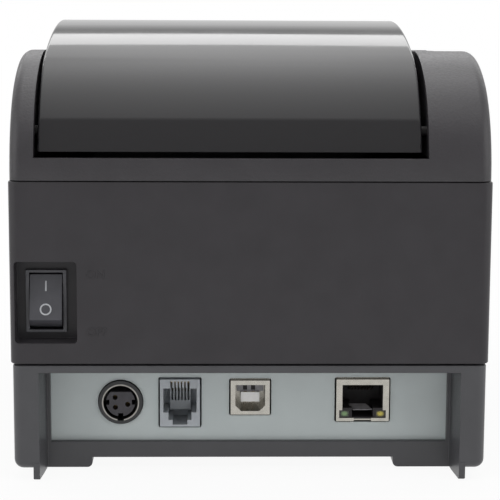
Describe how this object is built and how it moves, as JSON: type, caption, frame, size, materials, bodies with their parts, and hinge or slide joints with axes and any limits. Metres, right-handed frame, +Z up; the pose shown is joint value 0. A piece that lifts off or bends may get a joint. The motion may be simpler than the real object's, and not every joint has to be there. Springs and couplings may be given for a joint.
{
  "type": "receipt printer",
  "caption": "Desktop thermal receipt printer: boxy casing with a curved clamshell lid, rear port bay, rocker switch, geared platen feed and a sliding paper cutter.",
  "frame": {"origin": "on the floor below the middle of the casing", "axes": "+Z up, -Y to the paper exit at the front, +Y to the sockets and the switch at the rear"},
  "size_m": [0.145, 0.19, 0.137],
  "materials": {
    "casing": "fine moulded grain",
    "lid_gloss": "polished",
    "inner_plastic": "moulded",
    "bright_plate": "satin",
    "socket_black": "moulded",
    "jack_grey": "moulded",
    "socket_metal": "bright tin plate",
    "contact_metal": "gold flash",
    "tongue_white": "moulded",
    "lamp_green": "clear tinted",
    "lamp_yellow": "clear tinted",
    "switch_black": "semi-gloss",
    "rubber": "matte",
    "steel": "ground",
    "gear_white": "moulded",
    "board_green": "solder mask",
    "heatsink": "extruded",
    "ceramic": "glazed",
    "light_pipe": "frosted",
    "key_plastic": "moulded"
  },
  "bodies": {
    "chassis": {"base_tray": "casing", "main_housing": "casing", "top_shroud": "casing", "cutter_cover": "casing", "inner_chassis": "inner_plastic", "paper_bucket": "inner_plastic", "print_frame": "inner_plastic", "cutter_frame": "inner_plastic", "hinge_pins": "inner_plastic", "interface_plate": "bright_plate", "power_socket": "socket_black", "power_core": "socket_black", "lan_insert": "socket_black", "paper_sensor": "socket_black", "tact_switch": "socket_black", "drawer_socket": "jack_grey", "power_ring": "socket_metal", "usb_shell": "socket_metal", "lan_shell": "socket_metal", "power_pins": "contact_metal", "drawer_contacts": "contact_metal", "usb_tongue": "tongue_white", "lan_led_green": "lamp_green", "lan_led_yellow": "lamp_yellow", "switch_frame": "switch_black", "rubber_feet": "rubber", "base_screws": "steel", "board_screws": "steel", "idler_pin": "steel", "head_spring": "steel", "feed_motor": "steel", "cutter_motor": "steel", "main_board": "board_green", "button_board": "board_green", "head_heatsink": "heatsink", "print_head": "ceramic", "light_pipes": "light_pipe"},
    "lid": {"lid_shell": "lid_gloss", "lid_liner": "inner_plastic", "fixed_blade": "steel", "platen_bushings": "gear_white"},
    "platen": {"platen_shaft": "steel", "platen_roller": "rubber", "platen_gear": "gear_white"},
    "idler": {"idler_gear": "gear_white"},
    "feed_pinion": {"motor_pinion": "gear_white", "motor_shaft": "steel"},
    "blade": {"moving_blade": "steel", "blade_racks": "gear_white"},
    "cutter_drive": {"cutter_shaft": "steel", "cutter_pinions": "gear_white", "cutter_gear": "gear_white"},
    "cutter_pinion": {"cutter_motor_pinion": "gear_white"},
    "rocker": {"power_rocker": "switch_black"},
    "feed_key": {"feed_button": "key_plastic"},
    "release_key": {"release_button": "key_plastic"}
  },
  "joints": [
    {"name": "lid_hinge", "type": "hinge", "parent": "chassis", "child": "lid", "pos_m": [0, 0.0855, 0.1063], "axis": [-1, 0, 0], "range_deg": [0, 80]},
    {"name": "platen_spin", "type": "hinge", "parent": "lid", "child": "platen", "pos_m": [0, -0.042, 0.112], "axis": [1, 0, 0], "continuous": true},
    {"name": "idler_spin", "type": "hinge", "parent": "chassis", "child": "idler", "pos_m": [0, -0.042, 0.092], "axis": [1, 0, 0], "continuous": true},
    {"name": "feed_pinion_spin", "type": "hinge", "parent": "chassis", "child": "feed_pinion", "pos_m": [0, -0.0508, 0.07676], "axis": [1, 0, 0], "continuous": true},
    {"name": "cutter_turn", "type": "hinge", "parent": "chassis", "child": "cutter_drive", "pos_m": [0, -0.073, 0.11135], "axis": [-1, 0, 0], "range_deg": [0, 84]},
    {"name": "blade_slide", "type": "slide", "parent": "chassis", "child": "blade", "axis": [0, 1, 0], "range_m": [0, 0.007]},
    {"name": "cutter_pinion_spin", "type": "hinge", "parent": "chassis", "child": "cutter_pinion", "pos_m": [0, -0.0816, 0.10482], "axis": [-1, 0, 0], "range_deg": [-168, 0]},
    {"name": "rocker_tip", "type": "hinge", "parent": "chassis", "child": "rocker", "pos_m": [0.06195, 0.085, 0.0546], "axis": [-1, 0, 0], "range_deg": [0, 24]},
    {"name": "feed_press", "type": "slide", "parent": "chassis", "child": "feed_key", "axis": [0, 0, -1], "range_m": [0, 0.0005], "stiffness_N_per_m": 800},
    {"name": "release_press", "type": "slide", "parent": "chassis", "child": "release_key", "axis": [0, 0, -1], "range_m": [0, 0.0025], "stiffness_N_per_m": 600}
  ],
  "couplings": [
    {"joint": "idler_spin", "follows": "platen_spin", "ratio": -0.66667},
    {"joint": "feed_pinion_spin", "follows": "platen_spin", "ratio": 1.4286},
    {"joint": "cutter_turn", "follows": "blade_slide", "rad_per_m": 208.33},
    {"joint": "cutter_pinion_spin", "follows": "blade_slide", "rad_per_m": -416.67}
  ]
}
